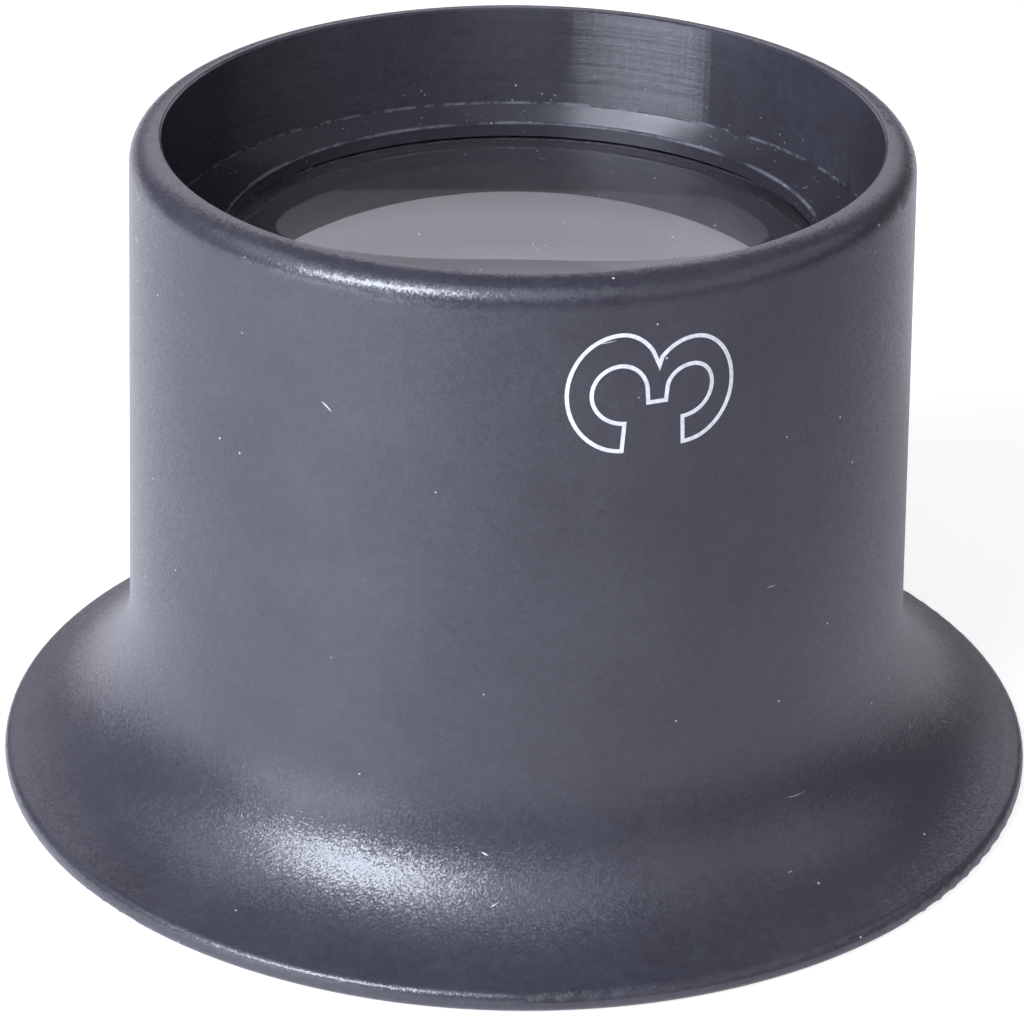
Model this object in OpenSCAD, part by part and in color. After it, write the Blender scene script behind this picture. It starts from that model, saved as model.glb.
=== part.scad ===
// Watchmaker's eye loupe: a moulded eyecup, one magnifying lens and the pressed ring that holds it.
// Units are millimetres. Z runs up the optical axis, and z = 0 is the flat foot of the eye flange.

/* [Overall] */
// Diameter over the eye flange
flange_d = 37.6; // [33:0.2:48]
// Height from the flat foot to the top of the rim
height = 24; // [18:0.5:34]

/* [Barrel] */
// Wall between the front recess and the barrel's outside, at the top of the rim
rim_wall = 1.1; // [0.9:0.05:2]
// Draft of the barrel's outside, in degrees, so that it widens towards the flange
barrel_draft = 1.5; // [0.5:0.1:3]
// Radius on the outer edge of the rim
rim_round = 0.95; // [0.4:0.05:1.5]
// Width of the bevel on the inner edge of the rim
rim_bevel = 0.08; // [0.04:0.01:0.2]
// Wall of the barrel and the flange below the lens
wall = 1.1; // [0.8:0.05:1.6]

/* [Flange] */
// Radius of the hollow curve between barrel and flange
flare_r = 5.8; // [2:0.1:8]
// Slope of the flange near its edge, in degrees below level
skirt_slope = 18; // [10:1:30]
// Thickness of the flange at its edge
lip_h = 0.8; // [0.6:0.05:1.2]
// Radius on the upper and lower corners of the flange's edge
lip_round = 0.35; // [0.1:0.05:0.6]

/* [Lens seat] */
// Diameter of the front recess that takes the lens and the ring
bore_d = 25; // [20:0.5:30]
// Depth of the ledge below the top of the rim
seat_depth = 6.25; // [4.5:0.25:9]
// Thickness of the ledge under the lens
ledge_h = 1.3; // [0.8:0.1:2]
// Width of the ledge from the recess's wall to its opening
ledge_w = 1.3; // [0.8:0.1:2.5]
// Radius in the corner under the ledge
ledge_round = 0.6; // [0.2:0.1:0.8]
// Radius on the lower edge of the opening in the ledge
aperture_round = 0.4; // [0.1:0.1:0.6]

/* [Lens] */
// Radius of the front dome
front_radius = 45; // [35:1:70]
// Radius of the back dome
back_radius = 400; // [200:10:800]
// Thickness at the middle
lens_t = 3.3; // [2.6:0.1:4.2]
// Bevel on the lens's upper edge
lens_bevel = 0.1; // [0.05:0.05:0.2]

/* [Retaining ring] */
// Width of the ring from the recess's wall to its opening
ring_w = 2; // [1:0.1:3]
// Height of the ring's inner face above the lens
ring_face_h = 0.55; // [0.4:0.05:1.2]
// Bevel on the ring's upper edges
ring_bevel = 0.1; // [0.05:0.01:0.15]

/* [Fits] */
// Gap between the lens's edge and the recess, all round
lens_gap = 0.05; // [0.02:0.01:0.15]
// Gap between the pressed ring and the recess, all round
ring_gap = 0.01; // [0.005:0.005:0.02]
// Gap between the ring's underside and the lens
clamp_gap = 0.02; // [0.01:0.01:0.05]
// How far the back dome stays inside the opening in the ledge
dome_gap = 0.2; // [0.1:0.05:0.5]

/* [Hidden] */
$fn = 180;
// Facets of the shallow domes' full circles, so that their short stretches stay smooth
front_facets = 1440;
back_facets = 7200;

// Room for cutting shapes past a face, and the least flat left between two roundings
over = 1;
least_flat = 0.05;

flange_r = flange_d / 2;
bore_r = bore_d / 2;
aperture_r = bore_r - ledge_w;

// The barrel's outer wall is the line r + z * tan(draft) = wall_line in the half section.
wall_line = bore_r + rim_wall + height * tan(barrel_draft);
// Unit vectors out of the barrel's wall and out of the flange's upper face
wall_out = [cos(barrel_draft), sin(barrel_draft)];
skirt_out = [sin(skirt_slope), cos(skirt_slope)];

// Centres of the lip's two corner arcs, and where the upper one meets the flange's upper face
lip_arc = min(lip_round, (lip_h - least_flat) / 2);
lip_low = [flange_r - lip_arc, lip_arc];
lip_high = [flange_r - lip_arc, lip_h - lip_arc];
skirt_end = lip_high + lip_arc * skirt_out;

// The hollow curve between barrel and flange, held within the width that the flange leaves it
flare_arc = min(flare_r, (skirt_end[0] - wall_line) / (1 - sin(skirt_slope)));
// Its centre: one radius outside the wall's line and above the skirt's line
from_wall = wall_line * cos(barrel_draft) + flare_arc;
from_skirt = skirt_end * skirt_out + flare_arc;
flare_c = [
    cos(skirt_slope) * from_wall - sin(barrel_draft) * from_skirt,
    cos(barrel_draft) * from_skirt - sin(skirt_slope) * from_wall
] / cos(barrel_draft + skirt_slope);

// The rim's outer rounding, held within the rim's wall, and its centre
rim_arc = min(rim_round, rim_wall - rim_bevel - least_flat);
rim_c = tangent_centre(wall_line, height, rim_arc);

// Levels of the ledge, and the line of the hollow's wall, which runs parallel to the barrel's outside
seat_z = height - seat_depth;
ledge_z = seat_z - ledge_h;
hollow_line = wall_line - wall / cos(barrel_draft);
ledge_c = tangent_centre(hollow_line, ledge_z, ledge_round);

// Where the flange's lower face leaves the hollow's curve, parallel to the upper face
under_start = flare_c - (flare_arc + wall) * skirt_out;

// The lens: its land lies on the ledge, and its back dome hangs a little way into the opening.
lens_r = bore_r - lens_gap;
dome_r = aperture_r - dome_gap;
back_z = seat_z - sag(back_radius, dome_r);
front_z = back_z + lens_t;
// Where the bevel on the upper edge starts and ends
bevel_r = lens_r - lens_bevel;
bevel_z = front_z - sag(front_radius, bevel_r);
edge_z = bevel_z - lens_bevel;

// The ring's underside is a cone that touches the front dome, less clamp_gap, at this radius.
ring_r = bore_r - ring_gap;
ring_bore_r = bore_r - ring_w;
bear_r = (ring_r + ring_bore_r) / 2;
bear_z = front_z - sag(front_radius, bear_r) + clamp_gap;
bear_slope = asin(bear_r / front_radius);
ring_low_in = bear_z + (bear_r - ring_bore_r) * tan(bear_slope);
ring_low_out = bear_z - (ring_r - bear_r) * tan(bear_slope);
ring_top = ring_low_in + ring_face_h;

// Height of a sphere's cap of the given radius
function sag(sphere_r, r) = sphere_r - sqrt(sphere_r * sphere_r - r * r);

// Centre of an arc of radius r under the level top and inside the drafted wall of the given line
function tangent_centre(line, top, r) = [line - (top - r) * tan(barrel_draft) - r / cos(barrel_draft), top - r];

// Half section of the eyecup's outside, solid to the axis
module outside_section() {
    difference() {
        polygon([
            [0, 0],
            [lip_low[0], 0],
            lip_low,
            lip_low + [lip_arc, 0],
            lip_high + [lip_arc, 0],
            lip_high,
            skirt_end,
            flare_c - flare_arc * skirt_out,
            flare_c,
            flare_c - flare_arc * wall_out,
            rim_c + rim_arc * wall_out,
            rim_c,
            rim_c + [0, rim_arc],
            [0, height]
        ]);
        translate(flare_c) circle(flare_arc);
    }
    translate(lip_low) circle(lip_arc);
    translate(lip_high) circle(lip_arc);
    translate(rim_c) circle(rim_arc);
}

// Half section of the hollow under the ledge, open at the foot
module hollow_section() {
    difference() {
        polygon([
            [0, -over],
            [under_start[0] + (under_start[1] + over) / tan(skirt_slope), -over],
            under_start,
            flare_c,
            flare_c - (flare_arc + wall) * wall_out,
            ledge_c + ledge_round * wall_out,
            ledge_c,
            ledge_c + [0, ledge_round],
            [0, ledge_z]
        ]);
        translate(flare_c) circle(flare_arc + wall);
    }
    translate(ledge_c) circle(ledge_round);
}

// Half section of the opening through the ledge, with its lower edge rounded
module aperture_section() {
    translate([0, ledge_z - over]) square([aperture_r, ledge_h + 2 * over]);
    difference() {
        translate([0, ledge_z]) square([aperture_r + aperture_round, aperture_round]);
        translate([aperture_r + aperture_round, ledge_z + aperture_round]) circle(aperture_round);
    }
}

// Half section of the front recess, with the bevel on the rim's inner edge
module recess_section() {
    polygon([
        [0, seat_z],
        [bore_r, seat_z],
        [bore_r, height - rim_bevel],
        [bore_r + rim_bevel, height],
        [bore_r + rim_bevel, height + over],
        [0, height + over]
    ]);
}

// One-piece moulding: rim, barrel, ledge, hollow and eye flange
module eyecup_body() {
    color([0.26, 0.26, 0.30])
    rotate_extrude()
    difference() {
        outside_section();
        hollow_section();
        aperture_section();
        recess_section();
    }
}

// Plano-convex magnifying lens with a flat land round its back
module lens() {
    color([0.80, 0.82, 0.86, 0.5])
    rotate_extrude() {
        intersection() {
            translate([0, front_z - front_radius]) circle(front_radius, $fn = front_facets);
            polygon([
                [0, seat_z],
                [lens_r, seat_z],
                [lens_r, edge_z],
                [bevel_r, bevel_z],
                [bevel_r, front_z + over],
                [0, front_z + over]
            ]);
        }
        intersection() {
            translate([0, back_z + back_radius]) circle(back_radius, $fn = back_facets);
            translate([0, back_z]) square([dome_r, (seat_z + edge_z) / 2 - back_z]);
        }
    }
}

// Pressed ring: flat top, bevelled edges, underside shaped to the lens's dome
module retaining_ring() {
    color([0.13, 0.13, 0.15])
    rotate_extrude()
    polygon([
        [ring_bore_r, ring_low_in],
        [ring_r, ring_low_out],
        [ring_r, ring_top - ring_bevel],
        [ring_r - ring_bevel, ring_top],
        [ring_bore_r + ring_bevel, ring_top],
        [ring_bore_r, ring_top - ring_bevel]
    ]);
}

eyecup_body();
lens();
retaining_ring();
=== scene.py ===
"""Finishes, printed numeral, light and camera for a watchmaker's eye loupe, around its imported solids."""

import math

import bmesh
import bpy
from mathutils import Matrix, Quaternion, Vector
from mathutils.bvhtree import BVHTree


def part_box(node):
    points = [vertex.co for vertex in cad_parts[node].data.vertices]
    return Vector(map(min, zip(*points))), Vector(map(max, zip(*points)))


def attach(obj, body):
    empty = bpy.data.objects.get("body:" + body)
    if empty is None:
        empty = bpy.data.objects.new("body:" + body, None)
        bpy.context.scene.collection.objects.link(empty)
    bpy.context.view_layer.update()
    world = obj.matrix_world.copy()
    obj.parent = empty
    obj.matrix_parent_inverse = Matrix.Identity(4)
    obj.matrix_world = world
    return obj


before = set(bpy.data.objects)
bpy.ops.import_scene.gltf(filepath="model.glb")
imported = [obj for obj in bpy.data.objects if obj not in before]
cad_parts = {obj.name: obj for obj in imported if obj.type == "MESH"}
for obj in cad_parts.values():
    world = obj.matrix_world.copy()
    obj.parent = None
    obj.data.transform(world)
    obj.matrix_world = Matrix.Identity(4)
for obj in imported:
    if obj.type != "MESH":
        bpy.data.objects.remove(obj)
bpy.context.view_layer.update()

MM = 0.001
BODY = "root"

# Measures taken from the solids
RIM_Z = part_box("eyecup_body")[1].z
FLANGE_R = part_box("eyecup_body")[1].x
RECESS_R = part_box("retaining_ring")[1].x
RING_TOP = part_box("retaining_ring")[1].z
LENS_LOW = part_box("lens")[0].z
# Measures that no box gives: the ring's width, and the radius within which the hollow's wall is turned
RING_W = 2.0 * MM
HOLLOW_R = 13.0 * MM

# Outer outline of the printed numeral: each loop's extremes, the point where the loops cross, and the two
# strokes' ends. Each is a length round the barrel, to the right of the front, and a height above the foot,
# in millimetres.
LEFT_END = (3.43, 18.06)
LEFT_SIDE = (1.46, 20.17)
LEFT_TOP = (3.31, 22.25)
LEFT_INWARD = (4.83, 20.17)
CROSSING = (4.60, 21.20)
RIGHT_INWARD = (4.22, 20.14)
RIGHT_TOP = (5.86, 21.92)
RIGHT_SIDE = (7.30, 20.14)
RIGHT_END = (5.41, 18.14)
# How far each loop's arc runs towards the crossing, in degrees from its top
TO_CROSSING = 48

# Inner outline of the numeral, from its right end to its left
INNER_RIGHT_END = (5.38, 19.17)
INNER_RIGHT_SIDE = (6.43, 20.15)
INNER_RIGHT_TOP = (5.80, 20.84)
STUB_RIGHT = (4.96, 20.15)
STUB_RIGHT_FOOT = (4.91, 19.70)
STUB_LEFT_FOOT = (4.18, 19.68)
STUB_LEFT = (4.15, 20.13)
INNER_LEFT_TOP = (3.30, 21.04)
INNER_LEFT_SIDE = (2.41, 20.13)
INNER_LEFT_END = (3.52, 19.15)

# Stretches in each quarter curve, and the barrel's radius under the print and the line's width in millimetres
QUARTER_STEPS = 16
BARREL_R = 13.8
INK_LINE = 0.135
INK_THICKNESS = 0.012 * MM
INK_CLEARANCE = 0.003 * MM

# Below, a noise is given by its cells per metre, its number of finer layers and their strength. An edge is
# where a finish starts and where it is full, as two lengths counted from a measure of the solids.

# Grain of the moulding's outside: waves, and cells per metre with a tilt as a share of the normal's length
GRAIN_WAVES = (11000, 1.0, 0.5)
GRAIN_DEPTH = 0.010 * MM
GRAIN_CELLS = 15000
GRAIN_TILT = 0.13
# The middle of a cell's random colour, which gives it no tilt
CELL_MIDDLE = (0.5, 0.5, 0.5)

# Turned surfaces: lines per metre, so fine that they blend, and the least and greatest slope of their flanks
# in the recess and on the ring, where they face the axis
LINES_PER_M = 6000000
RECESS_SLOPES = (-0.9, 0.9)
RING_SLOPES = (-2.2, -1.35)
# Upright streaks in the recess and the hollow, as a noise on stretched cells: cells per metre across, depth,
# and how many times longer than wide
STREAKS = (1.0, 3.0, 0.6)
STREAKS_PER_M = 1100
STREAK_DEPTH = 0.030 * MM
STREAK_LENGTH = 12

# Where the recess and the hollow are: from the ring's outer radius, the lens's lowest point and HOLLOW_R
RECESS_EDGE = (0.06 * MM, 0.02 * MM)
RECESS_FOOT = (-0.2 * MM, 0.0)
HOLLOW_TOP = (-0.2 * MM, -0.4 * MM)
HOLLOW_EDGE = (0.2 * MM, 0.0)

# The rubbed rim, from its top, and what rubbing leaves of the waves and of the grain
RUBBED_RIM = (-1.2 * MM, -0.5 * MM)
RUBBED_WAVES = 0.3
RUBBED_GRAIN = 0.9

# Colours of the moulding, and the sum of clouds and mottles over which one turns into the other
CLOUDS = (260, 3.0, 0.6)
MOTTLES = (3200, 3.0, 0.7)
MOTTLED = (0.75, 1.25)
MOULDING_DARK = (0.030, 0.029, 0.038, 1)
MOULDING_PALE = (0.045, 0.044, 0.056, 1)
# Roughness of the moulding over the sum of clouds and waves, and what each state adds to it
CLOUDED = (0.6, 1.4)
MOULDING_ROUGH = (0.28, 0.34)
RUBBED_ROUGH = -0.03
TURNED_ROUGH = -0.16
MARKED_ROUGH = 0.3
MOULDING_IOR = 1.59

# The scuffed line where the ring was pressed in, from the ring's top, and where it is broken
# This pale colour also paints a highlight along the ring's top edges
SCUFF_AND_GLINT_COLOUR = (0.15, 0.15, 0.17, 1)
SCUFF_EDGE = (0.08 * MM, 0.04 * MM)
SCUFF_GAPS = (1000, 4.0, 0.7)
SCUFF_KEPT = (0.44, 0.60)

# Dust: specks per metre and their radius, the share of a speck that is solid, and fine dust in the recess's
# corner, from the ring's top
DUST_PER_M = 700
DUST_R = 0.05 * MM
SPECK_CORE = 0.6
FINE_DUST_PER_M = 2300
FINE_DUST_R = 0.04 * MM
FINE_DUST_SHARE = 0.5
DUSTY_CORNER = (1.6 * MM, 0.2 * MM)
DUST_COLOUR = (0.60, 0.60, 0.63, 1)

# Fibres of lint: cells per metre along and across them, their half width and turn, and how they bend
LINT_ALONG = 110
LINT_ACROSS = 1000
LINT_R = 0.03 * MM
LINT_TURN = (0.5, 1.1, 0.0)
LINT_BENDS = 220
LINT_BEND = 6 * MM

# The lens, and what a speck of dust does to it
ACRYLIC_COLOUR = (0.97, 0.975, 0.99, 1)
ACRYLIC_IOR = 1.49
LENS_DUST_COLOUR = (0.80, 0.80, 0.82, 1)
LENS_DUST_CLEARNESS = 0.3
LENS_DUST_ROUGH = 0.5

# The ring: its turned face and its top corners, from its top and from half its width. The corners are paler,
# partly as wear from rubbing and partly as a painted highlight.
RING_GRAIN = (9000, 2.0, 0.6)
RING_GRAIN_DEPTH = 0.006 * MM
RING_FACE = (-0.06 * MM, -0.03 * MM)
RING_SIDES = (-0.12 * MM, -0.06 * MM)
RING_CORNERS = (-0.12 * MM, -0.05 * MM)
RING_GAPS = (500, 4.0, 0.7)
RING_KEPT = (0.42, 0.60)
RING_DARK = (0.022, 0.021, 0.028, 1)
RING_PALE = (0.032, 0.031, 0.040, 1)
RING_CLOUDS = (500, 3.0, 0.6)
RING_CLOUDED = (0.3, 0.7)
RING_ROUGH = (0.20, 0.30)
RING_IOR = 1.33

# The ink, and its flecks
INK_FLECKS = (6000, 3.0, 0.6)
INK_DEPTH = 0.004 * MM
INK_COVERED = (0.3, 0.6)
INK_THIN = (0.62, 0.62, 0.65, 1)
INK_FULL = (0.82, 0.82, 0.84, 1)
INK_FLECKED = (0.3, 0.7)
INK_ROUGH = (0.5, 0.7)
INK_IOR = 1.5

# What the room adds to the light, what gloss sees of it, and what gloss and the glass see of the backdrop
ROOM_FILL = 0.03
ROOM_GLOSS = 0.16
BACKDROP_GLOSS = 1.5
BACKDROP_GLASS = 0.52
# Where the backdrop starts and is full: how far a level direction points backwards, and the heights of a
# direction of length one at its foot and at its top
BACKDROP_SIDES = (0.70, 0.92)
BACKDROP_FOOT = (0.15, 0.40)
BACKDROP_TOP = (0.645, 0.630)

# What gloss sees of the floor: a painted pool of light, its glow and paleness at the left and behind, and
# painted shade, its glow and paleness at the right front. Where they change is a distance to the right, plus
# a share of the distance to the front.
FLOOR_GLOW = (0.46, 0.09)
FLOOR_PAINTED_LIGHT = (0.85, 0.63)
FLOOR_CHANGE = (-5 * MM, 50 * MM)
FLOOR_FRONT_SHARE = 0.5
FLOOR_ROUGH = 0.42
FLOOR_IOR = 1.5
# The floor as the camera sees it: its own glow, and the part that shows the loupe's shadow
FLOOR_SEEN = 0.84
FLOOR_SHADED = 0.40
# Half the floor's width in metres, and its gap under the foot
FLOOR_HALF = 1.5
FLOOR_GAP = 0.02 * MM

# Colours of the studio light, a little cool and a little rosy
COOL = (0.92, 0.98, 1.12)
ROSY = (1.03, 0.97, 1.10)

# Camera, fitted to the photograph's outline of the flange, the barrel and the opening. Angles in radians.
IMAGE_W = 1024
FOCAL_PX = 4084.78
SENSOR_MM = 36
CAMERA_PLACE = Vector((0, -132.296, 75.241)) * MM
CAMERA_PITCH = 0.461826
CAMERA_YAW = -0.001568
CAMERA_ROLL = -0.014881
# Nearest and farthest that the camera sees, in metres
CAMERA_REACH = (0.01, 10)


class Recipe:
    """The node tree of a material or a world, with short ways to add and join nodes."""

    def __init__(self, owner):
        self.owner = owner
        self.owner.use_nodes = True
        self.tree = owner.node_tree
        self.tree.nodes.clear()

    def node(self, kind, inputs=None, **settings):
        """Adds a node. A value in inputs is a number, a colour or another node's socket."""
        made = self.tree.nodes.new(kind)
        for name, value in settings.items():
            setattr(made, name, value)
        for name, value in (inputs or {}).items():
            self.put(made.inputs[name], value)
        return made

    def put(self, socket, value):
        """Links a socket, or sets its own value."""
        if isinstance(value, bpy.types.NodeSocket):
            self.tree.links.new(value, socket)
        else:
            socket.default_value = value

    def math(self, operation, a, b=0.0):
        """Arithmetic on two numbers or sockets."""
        return self.node("ShaderNodeMath", {0: a, 1: b}, operation=operation).outputs[0]

    def rest(self, share):
        """What a share from 0 to 1 leaves."""
        return self.math("SUBTRACT", 1.0, share)

    def vector(self, operation, **inputs):
        """Arithmetic on vectors. The inputs are a, b and scale."""
        names = {"a": 0, "b": 1, "scale": "Scale"}
        values = {names[name]: value for name, value in inputs.items()}
        return self.node("ShaderNodeVectorMath", values, operation=operation).outputs[0]

    def ramp(self, value, start, end, low=0.0, high=1.0):
        """Maps start..end to low..high, held at both ends."""
        names = {"Value": value, "From Min": start, "From Max": end, "To Min": low, "To Max": high}
        return self.node("ShaderNodeMapRange", names, clamp=True).outputs["Result"]

    def between(self, share, low, high):
        """A number from low to high, by a share from 0 to 1."""
        return self.ramp(share, 0.0, 1.0, low, high)

    def past(self, value, measure, edge):
        """0 to 1 over an edge that is counted from a measure."""
        start, full = edge
        return self.ramp(value, measure + start, measure + full)

    def blend(self, share, a, b):
        """Mixes two colours by a share from 0 to 1."""
        made = self.node("ShaderNodeMix", data_type="RGBA")
        for index, value in ((0, share), (6, a), (7, b)):
            self.put(made.inputs[index], value)
        return made.outputs[2]

    def place(self):
        """Object coordinates, in metres."""
        return self.node("ShaderNodeTexCoord").outputs["Object"]

    def stretched(self, across, up):
        """Object coordinates as cells, with their own number per metre across and up."""
        inputs = {"Vector": self.place(), "Scale": (across, across, up)}
        return self.node("ShaderNodeMapping", inputs).outputs["Vector"]

    def outward(self):
        """Unit vector away from the optical axis."""
        return self.vector("NORMALIZE", a=self.vector("MULTIPLY", a=self.place(), b=(1, 1, 0)))

    def flat_length(self, parts):
        """Length of a separated vector across the optical axis."""
        squares = [self.math("MULTIPLY", parts[axis], parts[axis]) for axis in ("X", "Y")]
        return self.math("SQRT", self.math("ADD", *squares))

    def polar(self):
        """Distance from the optical axis and height, in metres."""
        parts = self.node("ShaderNodeSeparateXYZ", {"Vector": self.place()}).outputs
        return self.flat_length(parts), parts["Z"]

    def noise(self, scale, detail, roughness, place=None):
        """Noise on Object coordinates, or on the place given."""
        inputs = {"Scale": scale, "Detail": detail, "Roughness": roughness, "Vector": place or self.place()}
        return self.node("ShaderNodeTexNoise", inputs).outputs["Fac"]

    def specks(self, per_metre, radius):
        """1 in small round specks that lie by chance, about one to each cell, and 0 between them."""
        cells = self.node("ShaderNodeTexVoronoi", {"Vector": self.place(), "Scale": per_metre})
        reach = radius * per_metre
        return self.ramp(cells.outputs["Distance"], reach, reach * SPECK_CORE)

    def lint(self):
        """1 on a few short bent fibres that lie by chance, and 0 between them."""
        bends = {"Vector": self.place(), "Scale": LINT_BENDS, "Detail": 0.0}
        swirl = self.node("ShaderNodeTexNoise", bends).outputs["Color"]
        bent = self.vector("ADD", a=self.place(), b=self.vector("SCALE", a=swirl, scale=LINT_BEND))
        scale = (LINT_ALONG, LINT_ALONG, LINT_ACROSS)
        turned = self.node("ShaderNodeMapping", {"Vector": bent, "Rotation": LINT_TURN, "Scale": scale})
        cells = self.node("ShaderNodeTexVoronoi", {"Vector": turned.outputs["Vector"], "Scale": 1.0})
        reach = LINT_R * LINT_ACROSS
        return self.ramp(cells.outputs["Distance"], reach, reach * SPECK_CORE)

    def bump(self, height, distance, under=None):
        """Bump from a height, over an optional bump under it."""
        inputs = {"Height": height, "Distance": distance}
        if under is not None:
            inputs["Normal"] = under
        return self.node("ShaderNodeBump", inputs).outputs["Normal"]

    def facets(self, normal, per_metre, tilt):
        """Leans the normal by chance in each small cell, as the facets of an eroded grain do."""
        cells = self.node("ShaderNodeTexVoronoi", {"Vector": self.place(), "Scale": per_metre})
        lean = self.vector("SUBTRACT", a=cells.outputs["Color"], b=CELL_MIDDLE)
        return self.leaned(normal, self.vector("SCALE", a=lean, scale=tilt))

    def turned(self, normal, across, direction, slopes, share):
        """Leans the normal along a direction by chance, from one line to the next of a turned surface."""
        inputs = {"W": across, "Scale": LINES_PER_M}
        lines = self.node("ShaderNodeTexVoronoi", inputs, voronoi_dimensions="1D")
        lean = self.math("MULTIPLY", self.between(lines.outputs["Color"], *slopes), share)
        return self.leaned(normal, self.vector("SCALE", a=direction, scale=lean))

    def leaned(self, normal, lean):
        """The normal with a lean added, at length one."""
        return self.vector("NORMALIZE", a=self.vector("ADD", a=normal, b=lean))

    def rays(self, name):
        """1 for the rays named, such as Is Camera Ray, and 0 for the rest."""
        return self.node("ShaderNodeLightPath").outputs[name]

    def plastic(self, colour, rough, ior, normal):
        """Opaque shader of a plastic."""
        inputs = {"Base Color": colour, "Roughness": rough, "IOR": ior, "Normal": normal}
        return self.node("ShaderNodeBsdfPrincipled", inputs)

    def finish(self, shader):
        """Joins the shader to the output and returns the material or world."""
        is_world = isinstance(self.owner, bpy.types.World)
        kind = "ShaderNodeOutputWorld" if is_world else "ShaderNodeOutputMaterial"
        self.node(kind, {"Surface": shader.outputs[0]})
        return self.owner


def material_recipe(name):
    """An empty recipe for a new material."""
    return Recipe(bpy.data.materials.new(name))


def moulded_plastic():
    """Anthracite moulding: spark-eroded grain outside, turned lines in recess and hollow, dust and lint."""
    r = material_recipe("anthracite_moulding")
    radius, height = r.polar()
    above_seat = r.past(height, LENS_LOW, RECESS_FOOT)
    in_recess = r.math("MULTIPLY", r.past(radius, RECESS_R, RECESS_EDGE), above_seat)
    under_ledge = r.past(height, LENS_LOW, HOLLOW_TOP)
    in_hollow = r.math("MULTIPLY", r.past(radius, HOLLOW_R, HOLLOW_EDGE), under_ledge)
    inside = r.math("MAXIMUM", in_recess, in_hollow)
    outside = r.rest(inside)
    rubbed_and_glint = r.past(height, RIM_Z, RUBBED_RIM)

    waves = r.noise(*GRAIN_WAVES)
    wave_share = r.math("MULTIPLY", outside, r.between(rubbed_and_glint, 1.0, RUBBED_WAVES))
    normal = r.bump(r.math("MULTIPLY", waves, wave_share), GRAIN_DEPTH)
    streaks = r.noise(*STREAKS, place=r.stretched(STREAKS_PER_M, STREAKS_PER_M / STREAK_LENGTH))
    normal = r.bump(r.math("MULTIPLY", streaks, inside), STREAK_DEPTH, under=normal)
    tilt = r.math("MULTIPLY", outside, r.between(rubbed_and_glint, GRAIN_TILT, GRAIN_TILT * RUBBED_GRAIN))
    normal = r.facets(normal, GRAIN_CELLS, tilt)
    normal = r.turned(normal, height, (0, 0, 1), RECESS_SLOPES, inside)

    clouds = r.noise(*CLOUDS)
    mottled = r.ramp(r.math("ADD", clouds, r.noise(*MOTTLES)), *MOTTLED)
    colour = r.blend(mottled, MOULDING_DARK, MOULDING_PALE)
    on_line = r.math("MULTIPLY", r.past(height, RING_TOP, SCUFF_EDGE), in_recess)
    scuffed = r.math("MULTIPLY", on_line, r.ramp(r.noise(*SCUFF_GAPS), *SCUFF_KEPT))
    colour = r.blend(scuffed, colour, SCUFF_AND_GLINT_COLOUR)
    by_corner = r.math("MULTIPLY", r.past(height, RING_TOP, DUSTY_CORNER), in_recess)
    fine_dust = r.math("MULTIPLY", r.specks(FINE_DUST_PER_M, FINE_DUST_R), by_corner)
    dust = r.math("MAXIMUM", r.specks(DUST_PER_M, DUST_R), r.math("MULTIPLY", fine_dust, FINE_DUST_SHARE))
    dust = r.math("MAXIMUM", dust, r.lint())
    colour = r.blend(dust, colour, DUST_COLOUR)

    rough = r.ramp(r.math("ADD", clouds, waves), *CLOUDED, *MOULDING_ROUGH)
    marked = r.math("MAXIMUM", dust, scuffed)
    for share, added in ((rubbed_and_glint, RUBBED_ROUGH), (inside, TURNED_ROUGH), (marked, MARKED_ROUGH)):
        rough = r.math("ADD", rough, r.math("MULTIPLY", share, added))
    return r.finish(r.plastic(colour, rough, MOULDING_IOR, normal))


def lens_acrylic():
    """Clear acrylic with polished faces and a few specks of dust."""
    r = material_recipe("clear_acrylic")
    dust = r.specks(DUST_PER_M, DUST_R)
    shader = r.node("ShaderNodeBsdfPrincipled", {
        "Base Color": r.blend(dust, ACRYLIC_COLOUR, LENS_DUST_COLOUR),
        "Transmission Weight": r.between(dust, 1.0, LENS_DUST_CLEARNESS),
        "Roughness": r.math("MULTIPLY", dust, LENS_DUST_ROUGH),
        "IOR": ACRYLIC_IOR,
    })
    return r.finish(shader)


def ring_plastic():
    """Near-black plastic of the pressed ring, with a turned face, dust, and upper edges that are paler,
    partly as wear from rubbing and partly as a painted highlight.
    """
    r = material_recipe("black_ring_plastic")
    radius, height = r.polar()
    grain = r.noise(*RING_GRAIN)
    on_face = r.past(height, RING_TOP, RING_FACE)
    normal = r.turned(r.bump(grain, RING_GRAIN_DEPTH), radius, r.outward(), RING_SLOPES, on_face)
    normal = r.turned(normal, height, (0, 0, 1), RECESS_SLOPES, r.rest(on_face))

    from_middle = r.math("ABSOLUTE", r.math("SUBTRACT", radius, RECESS_R - RING_W / 2))
    on_side = r.past(from_middle, RING_W / 2, RING_SIDES)
    on_corner = r.math("MULTIPLY", on_side, r.past(height, RING_TOP, RING_CORNERS))
    # Painted highlight: broken stretches of the ring's top edges are made paler, partly as wear from rubbing
    # and partly in place of the light glinting on them
    rubbed_and_glint = r.math("MULTIPLY", on_corner, r.ramp(r.noise(*RING_GAPS), *RING_KEPT))
    dust = r.math("MULTIPLY", r.specks(FINE_DUST_PER_M, FINE_DUST_R), FINE_DUST_SHARE)
    colour = r.blend(grain, RING_DARK, RING_PALE)
    colour = r.blend(rubbed_and_glint, colour, SCUFF_AND_GLINT_COLOUR)
    colour = r.blend(dust, colour, DUST_COLOUR)
    rough = r.ramp(r.noise(*RING_CLOUDS), *RING_CLOUDED, *RING_ROUGH)
    return r.finish(r.plastic(colour, rough, RING_IOR, normal))


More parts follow.
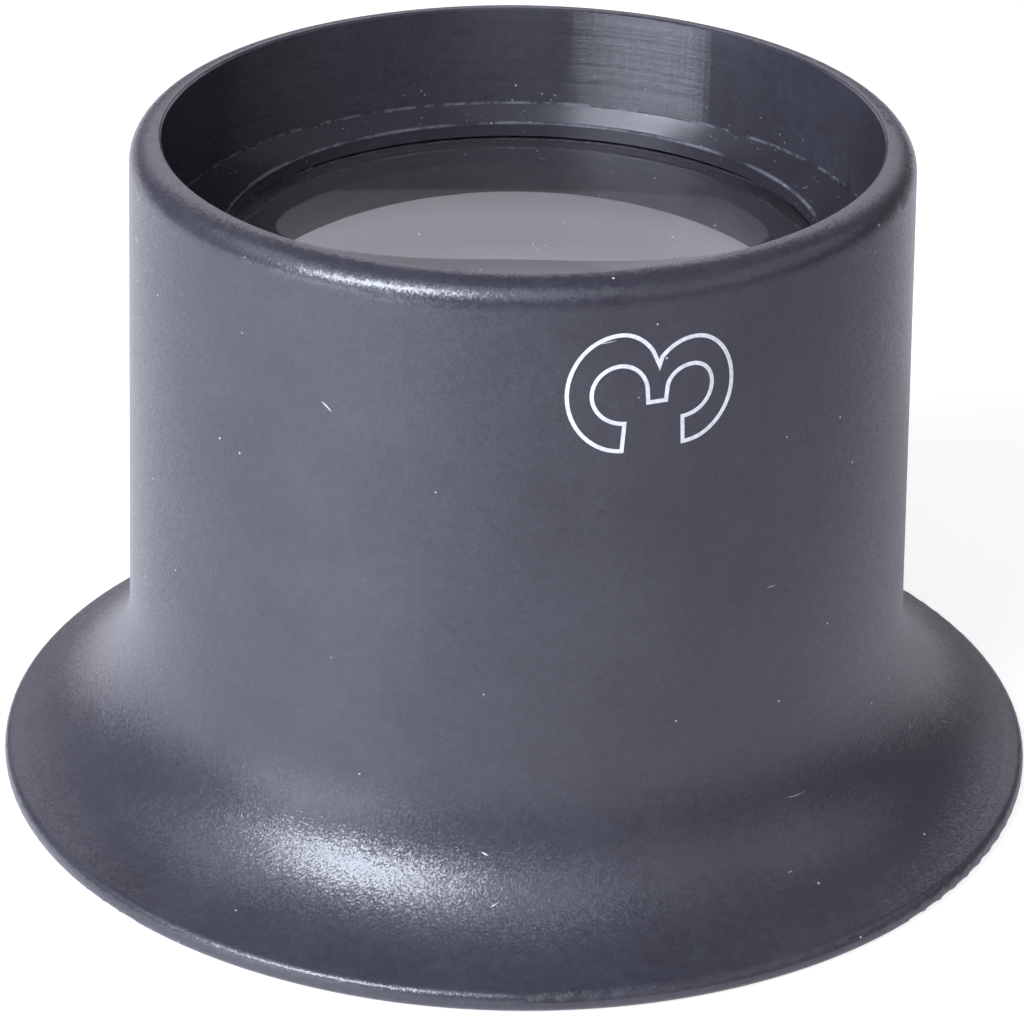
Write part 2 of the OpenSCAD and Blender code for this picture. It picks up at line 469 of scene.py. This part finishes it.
def white_ink():
    """Matt white pad-printing ink, a little thin in places."""
    r = material_recipe("white_print_ink")
    flecks = r.noise(*INK_FLECKS)
    colour = r.blend(r.ramp(flecks, *INK_COVERED), INK_THIN, INK_FULL)
    rough = r.ramp(flecks, *INK_FLECKED, *INK_ROUGH)
    return r.finish(r.plastic(colour, rough, INK_IOR, r.bump(flecks, INK_DEPTH)))


def quarter(start, end, upright, first=0, last=90):
    """Points on the quarter ellipse from start to end, which leaves start upright or level.

    first and last cut it short, in degrees.
    """
    points = []
    for i in range(QUARTER_STEPS + 1):
        turn = math.radians(first + (last - first) * i / QUARTER_STEPS)
        along, rise = math.sin(turn), 1 - math.cos(turn)
        if upright:
            along, rise = 1 - math.cos(turn), math.sin(turn)
        points.append((start[0] + (end[0] - start[0]) * along, start[1] + (end[1] - start[1]) * rise))
    return points


def numeral_outline():
    """Closed outline of a numeral 3 that lies on its back, two loops side by side."""
    outer = quarter(LEFT_END, LEFT_SIDE, False)
    outer += quarter(LEFT_SIDE, LEFT_TOP, True)[1:]
    outer += quarter(LEFT_TOP, LEFT_INWARD, False, last=TO_CROSSING)[1:]
    outer += [CROSSING]
    outer += quarter(RIGHT_INWARD, RIGHT_TOP, True, first=90 - TO_CROSSING)
    outer += quarter(RIGHT_TOP, RIGHT_SIDE, False)[1:]
    outer += quarter(RIGHT_SIDE, RIGHT_END, True)[1:]
    inner = quarter(INNER_RIGHT_END, INNER_RIGHT_SIDE, False)
    inner += quarter(INNER_RIGHT_SIDE, INNER_RIGHT_TOP, True)[1:]
    inner += quarter(INNER_RIGHT_TOP, STUB_RIGHT, False)[1:]
    inner += [STUB_RIGHT_FOOT, STUB_LEFT_FOOT]
    inner += quarter(STUB_LEFT, INNER_LEFT_TOP, True)
    inner += quarter(INNER_LEFT_TOP, INNER_LEFT_SIDE, False)[1:]
    inner += quarter(INNER_LEFT_SIDE, INNER_LEFT_END, True)[1:]
    return outer + inner


def out_of_barrel(along):
    """Unit vector out of the barrel at a length round it, in millimetres to the right of the front."""
    turn = along / BARREL_R
    return Vector((math.sin(turn), -math.cos(turn), 0))


def barrel_surface():
    """A search tree of the eyecup's own faces, so that the print lies on them."""
    bm = bmesh.new()
    bm.from_mesh(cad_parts["eyecup_body"].data)
    tree = BVHTree.FromBMesh(bm)
    bm.free()
    return tree


def scene_object(name, bm, material):
    """Turns a bmesh into an object of the scene, with its material."""
    mesh = bpy.data.meshes.new(name)
    bm.to_mesh(mesh)
    bm.free()
    mesh.materials.append(material)
    made = bpy.data.objects.new(name, mesh)
    bpy.context.scene.collection.objects.link(made)
    return made


def numeral_print():
    """The numeral's outline as a line of ink on the barrel."""
    bm = bmesh.new()
    corners = [bm.verts.new((along, height, 0)) for along, height in numeral_outline()]
    inside = bm.faces.new(corners)
    inside.normal_update()
    bmesh.ops.inset_region(bm, faces=[inside], thickness=INK_LINE, use_even_offset=True, use_boundary=True)
    bmesh.ops.delete(bm, geom=[inside], context="FACES")
    surface = barrel_surface()
    for vert in bm.verts:
        outward = out_of_barrel(vert.co.x)
        start = outward * FLANGE_R + Vector((0, 0, vert.co.y * MM))
        vert.co = surface.ray_cast(start, -outward)[0] + outward * INK_CLEARANCE
    outer = bmesh.ops.extrude_face_region(bm, geom=bm.faces[:])["geom"]
    for vert in (part for part in outer if isinstance(part, bmesh.types.BMVert)):
        vert.co += Vector((vert.co.x, vert.co.y, 0)).normalized() * INK_THICKNESS
    bmesh.ops.recalc_face_normals(bm, faces=bm.faces)
    piece = scene_object("numeral_print", bm, white_ink())
    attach(piece, BODY)


def paint(node, material):
    """Gives a CAD node its material."""
    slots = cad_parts[node].data.materials
    slots.clear()
    slots.append(material)


def make_camera():
    """Camera at the photograph's place."""
    data = bpy.data.cameras.new("camera")
    data.sensor_width = SENSOR_MM
    data.lens = FOCAL_PX / IMAGE_W * SENSOR_MM
    data.clip_start, data.clip_end = CAMERA_REACH
    camera = bpy.data.objects.new("camera", data)
    bpy.context.scene.collection.objects.link(camera)
    ahead = Vector((
        math.sin(CAMERA_YAW) * math.cos(CAMERA_PITCH),
        math.cos(CAMERA_YAW) * math.cos(CAMERA_PITCH),
        -math.sin(CAMERA_PITCH),
    ))
    level_right = ahead.cross(Vector((0, 0, 1))).normalized()
    level_down = ahead.cross(level_right)
    right = math.cos(CAMERA_ROLL) * level_right + math.sin(CAMERA_ROLL) * level_down
    up = -ahead.cross(right)
    axes = Matrix((right, up, -ahead)).transposed()
    camera.matrix_world = Matrix.Translation(CAMERA_PLACE) @ axes.to_4x4()
    bpy.context.scene.camera = camera


def soft_panel(name, azimuth, elevation, distance, size, level, colour, roll=0):
    """A soft panel aimed at the loupe.

    Azimuth 0 is the camera's side and 90 is +X, in degrees. size is its width and height in metres, level
    is what it adds to a white face that is turned to it, and roll lifts its end nearer to +X, in degrees.
    """
    aim = Vector((0, 0, RIM_Z / 2))
    a, e = math.radians(azimuth), math.radians(elevation)
    away = Vector((math.sin(a) * math.cos(e), -math.cos(a) * math.cos(e), math.sin(e)))
    data = bpy.data.lights.new(name, "AREA")
    data.shape = "ELLIPSE"
    data.size, data.size_y = size
    data.color = colour
    data.energy = level * math.pi ** 2 * distance ** 2
    panel = bpy.data.objects.new(name, data)
    bpy.context.scene.collection.objects.link(panel)
    panel.location = aim + away * distance
    rolled = away.to_track_quat("Z", "Y") @ Quaternion((0, 0, 1), math.radians(roll))
    panel.rotation_euler = rolled.to_euler()
    panel.visible_camera = False


def make_world():
    """The room, white for the camera.

    Gloss sees a white backdrop high behind the loupe, and the glass sees a grey one all round.
    """
    world = bpy.data.worlds.new("studio")
    bpy.context.scene.world = world
    world.cycles.sampling_method = "NONE"
    r = Recipe(world)
    direction = r.node("ShaderNodeTexCoord").outputs["Generated"]
    parts = r.node("ShaderNodeSeparateXYZ", {"Vector": direction}).outputs
    behind = r.ramp(r.math("DIVIDE", parts["Y"], r.flat_length(parts)), *BACKDROP_SIDES)
    above_foot = r.ramp(parts["Z"], *BACKDROP_FOOT)
    below_top = r.ramp(parts["Z"], *BACKDROP_TOP)
    on_backdrop = r.math("MULTIPLY", behind, r.math("MULTIPLY", above_foot, below_top))
    for_gloss = r.between(on_backdrop, ROOM_GLOSS, BACKDROP_GLOSS)
    for_glass = r.between(below_top, ROOM_GLOSS, BACKDROP_GLASS)
    strength = r.between(r.rays("Is Glossy Ray"), ROOM_FILL, for_gloss)
    strength = r.between(r.rays("Is Transmission Ray"), strength, for_glass)
    strength = r.between(r.rays("Is Camera Ray"), strength, 1.0)
    r.finish(r.node("ShaderNodeBackground", {"Color": (*ROSY, 1), "Strength": strength}))


def make_floor():
    """White table. The camera sees it a little brighter than it is lit, and the loupe's shadow faintly. Gloss
    sees a painted pool of light on it at the left and behind, and painted shade at the right front.
    """
    r = material_recipe("white_table")
    glow = r.node("ShaderNodeEmission", {"Strength": FLOOR_SEEN})
    paper = r.node("ShaderNodeBsdfDiffuse", {"Color": (FLOOR_SHADED, FLOOR_SHADED, FLOOR_SHADED, 1)})
    for_camera = r.node("ShaderNodeAddShader", {0: glow.outputs[0], 1: paper.outputs[0]})
    place = r.node("ShaderNodeSeparateXYZ", {"Vector": r.place()}).outputs
    to_dark_side = r.math("SUBTRACT", place["X"], r.math("MULTIPLY", place["Y"], FLOOR_FRONT_SHARE))
    # Painted light and shade: for gloss the floor glows and is paler at the left and behind, and is dimmer
    # and darker at the right front
    glow_there = r.ramp(to_dark_side, *FLOOR_CHANGE, *FLOOR_GLOW)
    satin = r.node("ShaderNodeBsdfPrincipled", {
        "Base Color": r.ramp(to_dark_side, *FLOOR_CHANGE, *FLOOR_PAINTED_LIGHT),
        "Roughness": FLOOR_ROUGH,
        "IOR": FLOOR_IOR,
        "Emission Color": (*ROSY, 1),
        "Emission Strength": r.math("MULTIPLY", r.rays("Is Glossy Ray"), glow_there),
    })
    seen = {0: r.rays("Is Camera Ray"), 1: satin.outputs[0], 2: for_camera.outputs[0]}
    table = r.finish(r.node("ShaderNodeMixShader", seen))
    bm = bmesh.new()
    bmesh.ops.create_grid(bm, x_segments=1, y_segments=1, size=FLOOR_HALF)
    bmesh.ops.translate(bm, verts=bm.verts, vec=(0, 0, -FLOOR_GAP))
    scene_object("floor", bm, table)


make_camera()
make_world()
make_floor()
soft_panel("key_panel", azimuth=-44, elevation=37, distance=0.45, size=(0.34, 0.12), level=1.35,
           colour=COOL, roll=28)
soft_panel("side_panel", azimuth=-84, elevation=40, distance=0.60, size=(0.46, 0.34), level=0.14, colour=COOL)
soft_panel("low_panel", azimuth=-52, elevation=3, distance=0.60, size=(0.60, 0.10), level=0.235, colour=COOL)
soft_panel("overhead_panel", azimuth=-6, elevation=50, distance=0.50, size=(0.50, 0.40), level=0.29,
           colour=COOL)
soft_panel("fill_panel", azimuth=72, elevation=31, distance=0.80, size=(1.30, 0.50), level=0.145, colour=ROSY)

paint("eyecup_body", moulded_plastic())
paint("lens", lens_acrylic())
paint("retaining_ring", ring_plastic())
numeral_print()

bpy.context.scene.view_settings.view_transform = "Standard"
